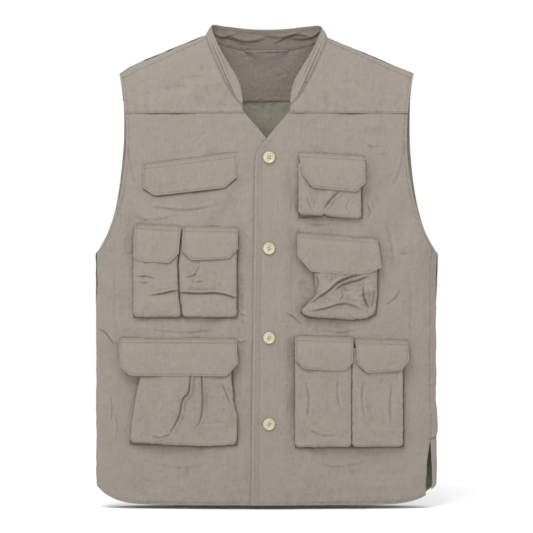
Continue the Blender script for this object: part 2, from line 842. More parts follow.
def settled(point_grid, rows, columns, spare, most, hold=None):
    """Simulates a coarse copy of a grid and resamples how far it moves."""
    fine_rows = len(rows)
    fine_columns = len(columns)
    coarse_rows = np.linspace(0, 1, int(np.clip(fine_rows / 5, 8, 60)))
    coarse_columns = np.linspace(0, 1, int(np.clip(fine_columns / 5, 8, 50)))
    middle = point_grid(coarse_columns, coarse_rows)
    pinned = np.zeros(middle.shape[:2], bool)
    pinned[0] = pinned[-1] = True
    pinned[:, 0] = pinned[:, -1] = True
    if hold is not None:
        pinned |= hold(middle)
    return refine(simulate(middle, pinned, spare, most=most), rows, columns)


# ------------------------------------------------------------------ fronts and facings

VENT_HEIGHTS = (28, 62, 97)
VENT_FRONT_EDGE = (240, 241, 246)
VENT_BACK_EDGE = (250.5, 248.5, 246.5)


def front_side_angle(h, side):
    """The angle of the front's outer edge: armhole, side seam, and the vent below it."""
    edge = np.where(h > UNDERARM, armhole_x(h), HALF_WIDTH - 0.2)
    if side > 0:
        vent = np.interp(h, VENT_HEIGHTS, VENT_FRONT_EDGE)
    else:
        vent = HALF_WIDTH - 0.2 - 1.5 * np.clip(1 - h / VENT_TOP, 0, 1)
    return angle_of(edge), angle_of(np.where(h < VENT_TOP, vent, edge))


def front_points(side, columns, rows, top=FRONT_YOKE_SEAM - 0.15):
    u, v = np.meshgrid(columns, rows)
    h = top * v
    for _ in range(6):
        outer, cut = front_side_angle(h, side)
        inner = angle_of(stand_edge(h))
        angle = inner + (outer - inner) * u
        angle = np.where(angle > cut - 0.004, cut - 0.004 * (1 - u) / 0.12 * (u < 1), angle)
        h = mix(hem_height(HALF_WIDTH * np.sin(angle)), top, v)
    middle = body_points(angle, h)
    middle[..., 0] *= side
    return middle[:, ::side]


def over_lift(x):
    return OVER_LIFT * (1 - smooth(x, 24, 40))


# The wrinkles on each front, apart from those of its pockets: a curve, its height and its width.
WRINKLES = {
    1: [([(60, 462), (96, 448), (150, 452)], 0.9, 5), ([(30, 440), (70, 425), (120, 428)], 0.6, 5),
        ([(178, 440), (190, 400), (196, 350)], 0.8, 6), ([(70, 268), (110, 262), (150, 270)], 0.7, 4),
        ([(215, 380), (222, 300), (218, 220)], 0.7, 7), ([(60, 70), (110, 62), (170, 74)], 0.6, 6),
        ([(180, 470), (196, 505), (206, 545)], 0.9, 6),
        ([(26, 292), (38, 286), (50, 276), (56, 270)], 1.8, 2.4),
        ([(150, 545), (160, 540), (170, 542)], 1.0, 2), ([(172, 300), (190, 312), (200, 330)], 1.2, 4),
        ([(150, 460), (158, 440), (150, 424)], 1.0, 3.4)],
    -1: [([(-190, 455), (-120, 447), (-60, 458)], 0.9, 5), ([(-205, 440), (-180, 432), (-130, 438)], 0.7, 5),
         ([(-222, 370), (-226, 300), (-219, 230)], 0.8, 7), ([(-190, 268), (-120, 262), (-60, 270)], 0.7, 4),
         ([(-200, 74), (-130, 60), (-70, 70)], 0.6, 6), ([(-208, 550), (-200, 510), (-190, 470)], 0.9, 6),
         ([(-30, 330), (-34, 300), (-30, 260)], 0.6, 4),
         ([(-258, 268), (-244, 262), (-234, 250), (-226, 236)], 2.0, 3),
         ([(-48, 248), (-38, 247), (-28, 249)], 1.2, 2),
         ([(-44, 300), (-36, 288), (-24, 284)], 1.2, 2.4), ([(-240, 178), (-232, 150), (-234, 116)], 1.0, 3),
         ([(-229, 142), (-223, 118), (-227, 92)], 0.8, 3)],
}


def turned(columns, side):
    """Columns as the grid of a side has them: counted from the other end on the right."""
    return columns if side > 0 else 1 - columns[::-1]


def outside_slits(x, h, half_height):
    """The cells of a grid that lie outside the slits of the buttonholes."""
    off = np.min([np.abs(centres(h) - height) for height in BUTTON_HEIGHTS], axis=0)
    return (off >= half_height) | (np.abs(centres(x) - SLIT[0]) >= SLIT[1])


def front_relief(side, x, h, rows, columns, seams):
    relief = sewn(x, h, seams, PUCKER, 8, 5, seed=20 + side)
    relief += crumple(x, h, 75, 1.4, 31 + side) + crumple(x, h, 24, 0.46, 41 + side)
    relief += crumple(x, h, 11, 0.14, 45 + side) + 0.9 * folded(x, h, WRINKLES[side])
    if side > 0:
        seam = [(LEFT_SEAM_X, VENT_TOP), (LEFT_SEAM_X - 2, 240), (LEFT_SEAM_X, UNDERARM + 8)]
        relief += ditch(x, h, seam, 1.1, 1.1) + puckers(x, h, seam, 0.4, 9, 5, 77)
    relief += settled(lambda c, r: front_points(side, turned(c, side), r), rows, turned(columns, side),
                      0.018, 2.2, lambda points: np.abs(points[..., 0]) < 30)
    relief += 0.8 * smooth(h, 20, 60) * lattice_noise(x, h / 5, 20, 43 + side)
    patches = smooth(lattice_noise(x, h, 60, 49 + side), -0.2, 0.5)
    relief += 0.5 * lattice_noise(x + h / 4, h / 4, 13, 47 + side) * patches
    return relief * (0.45 + 0.55 * smooth(np.abs(x), 14, 40))


def build_front(side):
    slits = [(height + step) / FRONT_YOKE_SEAM for height in BUTTON_HEIGHTS for step in (-0.45, 0.45)]
    vent = [0.1275, 0.131]
    columns = shares(290, FRONT_GRID)
    rows = shares(FRONT_YOKE_SEAM, FRONT_GRID, slits + vent if side > 0 else ())
    middle = front_points(side, columns, rows)
    if side > 0:
        middle[..., 1] -= over_lift(middle[..., 0])
    x, h = plan(middle)
    edges = [stand_path(side, inset, high=FRONT_STITCH_TOP) for inset in EDGE_ROWS]
    edges += [hem_path(side, HEM_INSET), armhole_path(side, ARMHOLE_INSET, top=586)]
    seams = edges + [yoke_seam_path(side, -1)]
    relief = front_relief(side, x, h, rows, columns, seams)
    dark = pocket_shade(x, h, side) + stitch_shade(x, h, seams) + crease_shade(x, h, WRINKLES[side], 0.16)
    keep = outside_slits(x, h, 0.4) if side > 0 else ~in_slot(centres(x), centres(h), 1.2)
    piece = cloth_sheet(f"front_{NAMES[side]}_cloth", middle, CLOTH, relief, [CLOTH_OUT, CLOTH_IN], keep,
                        worn(relief), dark=dark)
    thread = stitches(f"front_{NAMES[side]}_stitching", surface_finder(piece), edges)
    finish(piece, [f"front_panel_{NAMES[side]}"], bending(), thread=thread)
    return piece


def build_facing(side):
    name = "buttonhole_facing" if side > 0 else "button_facing"
    u, v = np.meshgrid(shares(34, 3), shares(548, 4))
    h = mix(1.2, V_BOTTOM - 1.2, v)
    inner = stand_edge(h) + 1.2
    x = mix(inner, np.minimum(inner + 36, 22.8), u)
    middle = body_points(angle_of(x), h)
    middle[..., 1] += FACING_LIFT - (OVER_LIFT if side > 0 else 0)
    middle[..., 0] *= side
    middle = middle[:, ::side]
    x, h = plan(middle)
    keep = outside_slits(x, h, 2.2) if side > 0 else None
    relief = 0.12 * lattice_noise(x, h, 12, 5)
    piece = cloth_sheet(f"{name}_cloth", middle, THIN_CLOTH, relief, [CLOTH_IN], keep)
    front = f"front_{NAMES[side]}"
    finish(piece, [name], riding(front))


# ------------------------------------------------------------------ yokes, back and lining


def round_row(x, v, start, end_angle):
    reach = shoulder_height(x) - CHEST
    first = np.arcsin(np.clip((start - CHEST) / reach, -1, 1))
    return CHEST + reach * np.sin(mix(first, end_angle, v))


def front_yoke_points(side, columns, rows):
    u, v = np.meshgrid(columns, rows)
    h = mix(FRONT_YOKE_SEAM, TIP[1], v)
    for _ in range(16):
        x = mix(front_neck(h), armhole_x(h), u)
        h = mix(h, round_row(x, v, FRONT_YOKE_SEAM + 0.15, math.pi / 2 - 0.004), 0.7)
    middle = np.stack([side * x, -front_depth(x) * depth_left(x, h), h], -1)
    return raise_shoulder(middle[:, ::side])


def back_yoke_points(inset, columns, rows, low=0.15):
    u, v = np.meshgrid(columns, rows)
    h = mix(BACK_YOKE_SEAM, TIP[1], v)
    for _ in range(16):
        edge = back_armhole_x(h) - inset
        x = mix(edge, -edge, u)
        reach = shoulder_height(x) - CHEST
        neck = np.clip((back_neck(x) - inset - CHEST) / reach, -1, 1)
        top = np.minimum(np.arcsin(neck), math.pi / 2 - 0.004)
        h = mix(h, round_row(x, v, BACK_YOKE_SEAM + low, top), 0.7)
    return raise_shoulder(np.stack([x, back_depth(x) * depth_left(x, h), h], -1))


def build_front_yoke(side):
    columns = shares(150, YOKE_GRID)
    rows = shares(125, YOKE_GRID)
    middle = front_yoke_points(side, columns, rows)
    x, h = plan(middle)
    seams = [yoke_seam_path(side, 2.4), armhole_path(side, ARMHOLE_INSET), shoulder_path(side, 6.5),
             neck_path(side, 2.2)]
    relief = sewn(x, h, seams, PUCKER, 8, 5, seed=50 + side)
    away = smooth(h, FRONT_YOKE_SEAM, FRONT_YOKE_SEAM + 30)
    relief += (1 - 0.5 * away) * lattice_noise(x, h / 7, 10, 61 + side)
    relief += crumple(x, h, 55, 0.9, 71 + side) + crumple(x, h, 15, 0.3, 72 + side)
    relief += 0.45 * bell(h - FRONT_YOKE_SEAM, 3.5)
    relief += settled(lambda c, r: front_yoke_points(side, turned(c, side), r), rows, turned(columns, side),
                      0.015, 1.4)
    dark = stitch_shade(x, h, seams) + 0.25 * bell(h - FRONT_YOKE_SEAM, 0.9)
    dark += 0.5 * bell(near_path(x, h, neck_path(side, 0))[0], 1.1)
    name = f"front_yoke_{NAMES[side]}"
    piece = cloth_sheet(f"{name}_cloth", middle, CLOTH, relief, [CLOTH_OUT, LINING], None, worn(relief),
                        dark=dark)
    thread = stitches(f"{name}_stitching", surface_finder(piece), seams)
    finish(piece, [name], bending(), thread)


def back_points(columns, rows):
    u, v = np.meshgrid(columns, rows)
    top = BACK_YOKE_SEAM + 4
    h = top * v
    for _ in range(8):
        edge = np.where(h > UNDERARM, angle_of(back_armhole_x(h)), math.pi / 2)
        angle = mix(math.pi - edge + 0.004, math.pi + edge - 0.004, np.clip((u - 0.03) / 0.97, 0, 1))
        wrap = angle_of(np.interp(h, VENT_HEIGHTS, VENT_BACK_EDGE))
        wrap = np.where(h < VENT_TOP + 1, math.pi / 2 - wrap, 0.004)
        angle = angle - wrap * np.clip(1 - u / 0.03, 0, 1)
        h = mix(hem_height(HALF_WIDTH * np.sin(angle)), top, v)
    middle = body_points(angle, h)
    tucked = smooth(middle[..., 0], 225, HALF_WIDTH) * np.clip(1 - h / 62, 0, 1) ** 2
    middle[..., 0] -= 9 * tucked
    return middle


def back_armholes(top=646):
    return [armhole_path(side, ARMHOLE_INSET, back_armhole_x, top) for side in (1, -1)]


def build_back():
    columns = shares(530, BACK_GRID, (0.006, 0.012, 0.018, 0.024, 0.03))
    rows = shares(BACK_YOKE_SEAM, BACK_GRID, (0.1235, 0.127))
    middle = back_points(columns, rows)
    x, h = plan(middle)
    seams = [hem_path(1, HEM_INSET, -248, 248), *back_armholes(606)]
    relief = sewn(x, h, seams, PUCKER, 9, 6, seed=80)
    relief += crumple(x, h, 110, 1.8, 81) + crumple(x, h, 26, 0.35, 82)
    relief += settled(back_points, rows, columns, 0.018, 3.0)
    relief *= smooth(h, -5, 14)
    relief = np.where(h > 606, relief * smooth(h, 611, 606) - 1.4 * smooth(h, 607, 611), relief)
    piece = cloth_sheet("back_cloth", middle, CLOTH, relief, [CLOTH_OUT, CLOTH_IN], None, worn(relief))
    thread = stitches("back_stitching", surface_finder(piece), seams, from_back=True)
    finish(piece, ["back_panel"], riding("body"), thread=thread)


def build_back_yoke():
    middle = back_yoke_points(0, shares(470, BACK_YOKE_GRID), shares(110, BACK_YOKE_GRID))
    x, h = plan(middle)
    seams = [[(-200, BACK_YOKE_SEAM + 3), (200, BACK_YOKE_SEAM + 3)], *back_armholes()]
    relief = sewn(x, h, seams, PUCKER, 9, 6, seed=90)
    relief += crumple(x, h, 80, 1.0, 91) + crumple(x, h, 20, 0.3, 92)
    relief += 0.4 * bell(h - BACK_YOKE_SEAM, 3.5)
    piece = cloth_sheet("back_yoke_cloth", middle, CLOTH, relief, [CLOTH_OUT, LINING], None, worn(relief))
    thread = stitches("back_yoke_stitching", surface_finder(piece), seams, from_back=True)
    finish(piece, ["back_yoke"], riding("body"), thread)


def build_lining():
    middle = back_yoke_points(1.2, shares(460, LINING_GRID), shares(108, LINING_GRID), 1.0)
    middle = middle - normals_of(middle) * 2.45
    x, h = plan(middle)
    relief = crumple(x, h, 70, 0.5, 101) + 0.25 * lattice_noise(x, h / 5, 16, 102)
    relief -= 0.5 * bell(h - BACK_YOKE_SEAM - 4, 2)
    piece = cloth_sheet("yoke_lining_cloth", middle, THIN_CLOTH, np.clip(relief, -1.0, 0.7), [LINING])
    finish(piece, ["yoke_lining"], riding("body"))


# ------------------------------------------------------------------ collar and hang loop

# Going from the front end round to the middle of the back: where the seam is, as a height up the
# front or a distance out along the back, then the top edge's x and height, and how far it leans.
COLLAR_STEPS = [
    (603.5, None, 35.5, 606, 0.3), (617, None, 38, 624, 2), (633, None, 44, 642, 2),
    (650, None, 54, 659, 2), (671, None, 66, 679, 2), (691, None, 76, 699, 2),
    (705, 92, 83, 722, 2), (None, 68, 62, 724, 0), (None, 34, 31, 721, -2), (None, 0, 0, 720, -3),
]
SHOULDER_STEP = 6


def neck_seam(place):
    """The collar's seam at a place counted in steps."""
    last = len(COLLAR_STEPS) - 1
    steps = np.arange(last + 1)
    heights = [step[0] for step in COLLAR_STEPS[:SHOULDER_STEP + 1]]
    outs = [step[1] for step in COLLAR_STEPS[SHOULDER_STEP:]]
    h = np.interp(place, steps[:SHOULDER_STEP + 1], heights)
    out = np.interp(place, steps[SHOULDER_STEP:], outs)
    in_front = place < SHOULDER_STEP
    x = np.where(in_front, front_neck(h), out)
    h = np.where(in_front, h, back_neck(out))
    y = np.where(in_front, -front_depth(x), back_depth(x)) * depth_left(x, h)
    return np.stack([x, y, h], -1)


def collar_points(places, rows):
    """A grid over the collar. places counts steps from one front end, over 9, to the other."""
    last = len(COLLAR_STEPS) - 1
    seam = neck_seam(last - np.abs(places - last))
    nodes = neck_seam(np.arange(last + 1.0))
    edge_nodes = np.array([(x, nodes[k][1] + lean, h) for k, (_, _, x, h, lean) in enumerate(COLLAR_STEPS)])
    edges = np.vstack([edge_nodes, edge_nodes[-2::-1] * (-1, 1, 1)])
    edge = refine(edges, places / (2 * last), np.linspace(0, 1, 3))
    edge[:, 0] = np.abs(edge[:, 0])
    points = mix(seam[None], edge[None], mix(-0.06, 1.0, rows)[:, None, None])
    points[..., 0] *= np.where(places <= last, 1.0, -1.0)
    return raise_shoulder(points)


COLLAR_STEP = 34
COLLAR_HEIGHT = 20
COLLAR_LENGTH = 18 * COLLAR_STEP
COLLAR_ROWS = (2.4, 17.2)  # its stitching, up from the seam
# Creases along the collar: at both its sides, counted from the nearer end, and then at its back.
SIDE_CREASES = [([(10, 3), (60, 5), (130, 8), (196, 9)], 1.2, 1.8),
                ([(60, 9), (130, 15), (200, 16)], 0.7, 1.5)]
BACK_CREASES = [
    ([(205, 15), (235, 8), (275, 12)], 2.2, 1.7), ([(225, 6), (262, 14), (300, 7)], 2.0, 1.7),
    ([(300, 14), (340, 9), (380, 13)], 2.0, 1.7), ([(330, 5), (365, 9), (400, 6)], 1.5, 1.7),
    ([(240, 17), (280, 13), (320, 16)], 1.4, 1.5), ([(350, 16), (380, 8), (404, 12)], 1.4, 1.5),
]


def collar_relief(side, along, up):
    relief = 0.5 * np.sin(np.pi * up / COLLAR_HEIGHT) ** 0.7
    relief += 0.34 * lattice_noise(along, up * 0.5, 6, 111) * bell(up - 3, 5)
    relief += 0.5 * lattice_noise(along / 3, up, 8, 112)
    relief += (0.5 if side else 1.0) * lattice_noise(along, up / 3, 9, 114)
    relief -= 0.3 * sum(bell(up - row, 0.8) for row in COLLAR_ROWS)
    if side:
        return relief + folded(np.minimum(along, COLLAR_LENGTH - along), up, SIDE_CREASES)
    return relief - folded(along, up, BACK_CREASES)


def build_collar_piece(name, start, end, side):
    places = mix(start, end, shares(COLLAR_STEP * (end - start), YOKE_GRID))
    rows = shares(24, 1.1)
    middle = collar_points(places, rows)
    along, up = np.meshgrid(places * COLLAR_STEP, rows * COLLAR_HEIGHT)
    relief = collar_relief(side, along, up)
    if side:
        dark = crease_shade(np.minimum(along, COLLAR_LENGTH - along), up, SIDE_CREASES, 0.5)
    else:
        dark = crease_shade(along, up, BACK_CREASES, 0.36)
    dark += 0.5 * bell(up, 1.3) + 0.2 * sum(bell(up - row, 0.9) for row in COLLAR_ROWS)
    piece = cloth_sheet(name, middle, COLLAR_CLOTH, relief, [CLOTH_OUT, CLOTH_OUT if side else LINING_WARM],
                        None, worn(relief, 0.35), dark=dark, inner_share=0.9)
    thread = None
    if side:
        paths = [middle[np.argmin(np.abs(rows - share))][:, [0, 2]] for share in (0.1, 0.86)]
        thread = stitches(f"{name}_stitching", surface_finder(piece), paths, pitch=2.9)
    hang = bending() if side else riding("body")
    finish(piece, ["collar"], hang, thread=thread)


def build_collar():
    last = 2 * (len(COLLAR_STEPS) - 1)
    build_collar_piece("collar_left", 0, SHOULDER_STEP, 1)
    build_collar_piece("collar_back", SHOULDER_STEP, last - SHOULDER_STEP, 0)
    build_collar_piece("collar_right", last - SHOULDER_STEP, last, -1)


def build_hang_loop():
    low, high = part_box("hang_loop")
    half = (high[0] - low[0]) / 2 / MM
    u, v = np.meshgrid(shares(2 * half, 1.6), shares(4.2, 0.6))
    x = mix(half, -half, u)
    share = x / half
    y = high[1] / MM - Y0 - 0.6 - 8 * (1 - share**2)
    h = 686.8 + 4.2 * (v - 0.5) + 0.9 * share**2 + 0.5 * np.sin(3 * share)
    relief = 0.12 * lattice_noise(x, h, 4, 121) + 0.15 * np.cos(2 * np.pi * v)
    piece = cloth_sheet("hang_loop_strip", np.stack([x, y, h], -1), LOOP_CLOTH, relief, [LINING],
                        dark=0.08 + 0.7 * smooth(v, 0.55, 0.95), inner_share=1)
    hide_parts("hang_loop")
    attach(piece, "body")


# ------------------------------------------------------------------ pockets

CORNER = 7
STAIN_AT = (-50, 131)
# Along a pocket's rim, from its sewn edge: how far in from the outline it is, and how far out.
RIM_AT = np.array([0, 3.5, 7, 9.2, 12, 16])
RIM_IN = np.array([2.2, 0.1, 0.2, 1.1, 3.3, 7.2])
RIM_OUT = np.array([1.0, 3.4, 6.6, 8.3, 9.0, 9.1])
RIM_LENGTH = 16 - 7.2


def simple_pocket(left, right, bottom, top, tilt=0, folds=(), rumple=0.7, stained=False):
    rise = math.tan(math.radians(tilt))
    middle = (left + right) / 2
    return {
        "left": [(bottom, left), (top, left)], "right": [(bottom, right), (top, right)],
        "bottom": [(left, bottom + rise * (left - middle)), (right, bottom + rise * (right - middle))],
        "top": [(left, top), (right, top)], "folds": folds, "rumple": rumple, "stained": stained,
    }


POCKETS = {
    "chest_left": simple_pocket(48, 142, 433, 514, -3, [
        ([(114, 472), (106, 466), (96, 456), (84, 440)], 2.4, 2.4),
        ([(60, 470), (66, 452), (74, 438)], 0.8, 3.5),
        ([(128, 462), (122, 450), (124, 438)], 0.7, 3)]),
    "mid_left": {
        "left": [(290, 51), (304, 63), (316, 75), (351, 71), (396, 60)],
        "right": [(287, 163), (317, 166), (345, 166), (392, 167)],
        "bottom": [(51, 291), (56, 287), (67, 283), (128, 279), (150, 281), (163, 288)],
        "top": [(46, 394), (170, 389)],
        "folds": [([(58, 299), (74, 312), (92, 325), (106, 337), (124, 345), (150, 350)], 3.6, 4.0),
                  ([(96, 318), (108, 330), (122, 336), (140, 341), (158, 349)], 2.2, 3.4),
                  ([(50, 300), (60, 307), (72, 313)], 2.2, 2.6),
                  ([(56, 292), (84, 297), (118, 305), (150, 293)], 2.0, 3.4),
                  ([(146, 332), (149, 310), (158, 294)], 2.6, 3.0),
                  ([(164, 330), (162, 308), (158, 292)], 1.8, 2.6),
                  ([(76, 348), (79, 334), (76, 318)], 1.8, 3),
                  ([(112, 326), (116, 314), (108, 304)], 1.4, 3.0)],
        "rumple": 1.3, "stained": False},
    "low_left_inner": simple_pocket(43, 127.4, 88, 241, 0, [
        ([(60, 196), (66, 160), (62, 120)], 0.9, 4.5), ([(112, 196), (108, 170), (114, 140)], 0.7, 4),
        ([(56, 120), (86, 108), (116, 112)], 0.6, 4)]),
    "low_left_outer": simple_pocket(128.4, 205, 88, 236, 0, [
        ([(150, 194), (146, 160), (152, 120)], 0.8, 4.5), ([(192, 190), (188, 150), (190, 110)], 0.8, 4)]),
    "mid_right_inner": simple_pocket(-126.4, -45, 283, 405, 0, [
        ([(-170, 323), (-126, 321), (-104, 320), (-70, 320), (-45, 313), (-10, 306)], 3.2, 3.0),
        ([(-124, 342), (-112, 346), (-102, 350)], 1.3, 2), ([(-113, 340), (-106, 352), (-99, 364)], 1.1, 2),
        ([(-110, 336), (-100, 338), (-90, 336)], 0.8, 2.4)]),
    "mid_right_outer": simple_pocket(-200, -127.4, 283, 407, 0, [
        ([(-182, 316), (-158, 319.5), (-134, 324), (-100, 322)], 2.6, 2.8),
        ([(-200, 346), (-180, 345), (-164, 341)], 1.6, 2),
        ([(-196, 338), (-184, 336), (-172, 337)], 1.0, 2)]),
    "low_right": simple_pocket(-206, -45, 92, 238, 0, [
        ([(-111, 230), (-112, 194), (-115, 168), (-124, 158), (-129, 134), (-143, 108),
          (-152, 96)], 3.2, 2.6),
        ([(-96, 230), (-95, 192), (-94, 151), (-99, 125), (-112, 110)], 2.8, 2.6),
        ([(-70, 190), (-62, 176), (-56, 160), (-50, 146)], 1.6, 2.4),
        ([(-176, 108), (-160, 104), (-140, 110)], 1.0, 3)],
        0.8, True),
}


def bag_points(spec, columns, rows, push=1.0):
    """A pocket: tucked edges at the sides and bottom, and a slightly crowned face."""
    width = np.mean([x for _, x in spec["right"]]) - np.mean([x for _, x in spec["left"]])
    height = np.mean([h for _, h in spec["top"]]) - np.mean([h for _, h in spec["bottom"]])
    across, up = np.meshgrid(columns * (width + 2 * RIM_LENGTH), rows * (height + RIM_LENGTH))
    left = across
    right = width + 2 * RIM_LENGTH - across
    reach = CORNER + RIM_LENGTH
    nearest = np.minimum(np.minimum(left, right), up)
    inset = lambda d: np.where(d < RIM_AT[-1], np.interp(d, RIM_AT, RIM_IN), d - RIM_LENGTH)
    x_rel = np.where(left < right, inset(left), width - inset(right))
    z_rel = inset(up)
    i = np.clip(1 - np.minimum(left, right) / reach, 0, 1)
    j = np.clip(1 - up / reach, 0, 1)
    both = (i > 0) & (j > 0)
    length = np.maximum(np.hypot(i, j), 1e-9)
    radial = CORNER - inset(reach * (1 - np.maximum(i, j)))
    x_corner = CORNER - radial * i / length
    x_rel = np.where(both, np.where(left < right, x_corner, width - x_corner), x_rel)
    z_rel = np.where(both, CORNER - radial * j / length, z_rel)
    out = np.interp(nearest, RIM_AT, RIM_OUT)
    crown = np.clip(1 - (2 * x_rel / width - 1) ** 2, 0, 1) * np.clip(z_rel / 25, 0, 1)
    out = (out + 1.0 * crown) * push
    h = z_rel + np.mean([h for _, h in spec["bottom"]])
    for _ in range(5):
        x = mix(np.interp(h, *zip(*spec["left"])), np.interp(h, *zip(*spec["right"])), x_rel / width)
        floor = np.interp(x, *zip(*spec["bottom"]))
        h = floor + z_rel * (np.interp(x, *zip(*spec["top"])) - floor) / height
    return np.stack([x, -front_depth(x) - out, h], -1), nearest


TWIN_GAP = [(283, -126.9), (318, -131), (362, -133), (405, -127.5)]
POCKETS["mid_right_inner"]["left"] = [(h, x + 0.5) for h, x in TWIN_GAP]
POCKETS["mid_right_outer"]["right"] = [(h, x - 0.5) for h, x in TWIN_GAP]
POCKETS["low_right"]["left"] = [(92, -206), (150, -198), (193, -190), (238, -190)]
POCKETS["low_right"]["right"] = [(92, -45), (132, -44), (150, -49), (193, -53), (238, -53)]
POCKETS["low_right"]["bottom"] = [(-206, 95), (-150, 91), (-90, 89), (-45, 92)]
POCKETS["chest_left"]["bottom"] = [(48, 437), (83, 435), (87, 438.5), (91, 434.5), (142, 430)]


def pocket_relief(spec, seed, x, h, rows, columns, nearest):
    inside = smooth(nearest, 5, 20)
    relief = settled(lambda c, r: bag_points(spec, c, r)[0], rows, columns, 0.03, 1.6)
    rumple = crumple(x, h, 36, 1.2, seed) + crumple(x, h, 13, 0.42, seed + 1)
    relief = (relief + folded(x, h, spec["folds"]) + spec["rumple"] * rumple) * inside
    relief += (1 - inside) * 0.5 * lattice_noise(x + h, x - h, 6, seed + 2) * smooth(nearest, 1, 5)
    return np.clip(relief, -2.5, np.where(h > h[-1, 0] - 34, 1.3, 4.5))


def pocket_rows(name, x, h):
    """The rows of stitching round a pocket's face."""
    rows = []
    if name != "mid_left":
        across = x[len(x) // 2]
        left = across.min() + 2.2
        right = across.max() - 2.2
        low = h.min()
        top = h.max() - 3
        rows.append([(left, top), (left, low + 11), (left + 8.8, low + 2.6), (right - 8.8, low + 2.6),
                     (right, low + 11), (right, top)])
    if name == "low_right":
        rows.append([(-173, 190), (-173, 97)])
    return rows


def build_pocket(name):
    spec = POCKETS[name]
    front = f"front_{NAMES[1 if spec['left'][0][1] > 0 else -1]}"
    width = spec["right"][0][1] - spec["left"][0][1] + 2 * RIM_LENGTH
    height = spec["top"][0][1] - spec["bottom"][0][1] + RIM_LENGTH
    rims = RIM_AT[1:-1]
    columns = shares(width, POCKET_GRID, np.concatenate([rims, width - rims]) / width)
    rows = shares(height, POCKET_GRID, rims / height)
    middle, nearest = bag_points(spec, columns, rows)
    x, h = plan(middle)
    relief = pocket_relief(spec, 130 + 9 * list(POCKETS).index(name), x, h, rows, columns, nearest)
    stain = None
    if spec["stained"]:
        blot = lattice_noise(x, h, 5, 3) * 0.3
        away = np.hypot((x - STAIN_AT[0]) / 6, (h - STAIN_AT[1]) / 17)
        stain = np.clip(1.1 - away + blot, 0, 1) * 0.35
    dark = 0.35 * bell(nearest, 2.5) + 0.24 * bell(near_path(x, h, flap_outline(name)[::6])[0], 1.8)
    dark += crease_shade(x, h, spec["folds"]) + gap_shade(x, h)
    piece = cloth_sheet(f"bag_{name}", middle, CLOTH, relief, [CLOTH_FLAP, DARK_IN], None, worn(relief),
                        stain, dark)
    paths = pocket_rows(name, x, h)
    thread = stitches(f"bag_{name}_stitching", surface_finder(piece), paths) if paths else None
    finish(piece, [f"pocket_{name}", f"gusset_{name}"], riding(front),
           thread=thread)


# ------------------------------------------------------------------ flaps

# Each flap: its two top corners, then the way round its lower edge, by growing x.
FLAPS = {
    "chest_left": [(48, 530), (147.5, 524), (54, 496), (69, 476.5), (135, 470.5), (148.5, 484)],
    "mid_left": [(46, 409), (167, 400), (47, 374), (66, 351), (128, 346), (156, 349), (173, 357)],
    "low_left_inner": [(43.5, 254.5), (130.5, 252), (42.5, 220), (55, 205), (117, 201), (129.6, 214)],
    "low_left_outer": [(133, 250), (213, 247), (136.5, 212), (151, 198.5), (203, 202), (214, 217)],
    "mid_right_inner": [(-125.2, 418), (-43, 417), (-126.8, 382), (-113, 368), (-56, 370), (-43, 385)],
    "mid_right_outer": [(-197, 422), (-128.5, 419), (-200, 374), (-193, 366), (-145, 364), (-131.5, 378)],
    "low_right": [(-221, 251), (-45, 250), (-220, 208), (-205, 194.5), (-60, 194), (-43, 213)],
    "chest_right": [(-185, 512), (-44.5, 530), (-185, 476), (-169, 465), (-63, 476.5), (-45, 492)],
}
FLAP_DROP = 52
FLAP_LINE = 2.3  # how far in from a flap's edge its stitching runs
FLAP_ROWS = (1.8, 7)  # both rows of stitching, down from the sewn edge
FLAP_FOLDS = {
    "chest_left": [([(96, 520), (104, 500), (98, 482)], 0.5, 4)],
    "chest_right": [([(-180, 474), (-150, 486), (-110, 490)], 0.8, 4),
                    ([(-70, 520), (-80, 500), (-74, 484)], 0.5, 4)],
    "mid_left": [([(100, 400), (120, 378), (126, 352)], 1.0, 5),
                 ([(60, 392), (66, 372), (76, 356)], 0.7, 4)],
    "low_right": [([(-110, 246), (-104, 222), (-112, 200)], 0.7, 5),
                  ([(-180, 240), (-172, 220), (-176, 200)], 0.6, 5)],
    "mid_right_inner": [([(-90, 412), (-84, 394), (-90, 374)], 0.5, 4)],
    "mid_right_outer": [([(-160, 414), (-168, 394), (-160, 372)], 0.6, 4)],
    "low_left_inner": [([(84, 248), (90, 228), (84, 208)], 0.5, 4)],
    "low_left_outer": [([(176, 244), (170, 224), (178, 206)], 0.6, 4)],
}


def flap_outline(name):
    """The lower edge, with its corners rounded off, as a dense line."""
    chain = np.array(FLAPS[name][2:], float)
    steps = np.concatenate([[0], np.cumsum(np.hypot(*np.diff(chain, axis=0).T))])
    spots = np.linspace(0, steps[-1], 400)
    line = np.stack([np.interp(spots, steps, chain[:, 0]), np.interp(spots, steps, chain[:, 1])], -1)
    reach = max(2, int(4.5 / steps[-1] * 400))
    soft = np.array([line[max(0, k - reach):k + reach + 1].mean(axis=0) for k in range(400)])
    ends = np.minimum(np.arange(400), np.arange(400)[::-1])[:, None] / (2 * reach)
    return mix(line, soft, np.clip(ends, 0, 1))


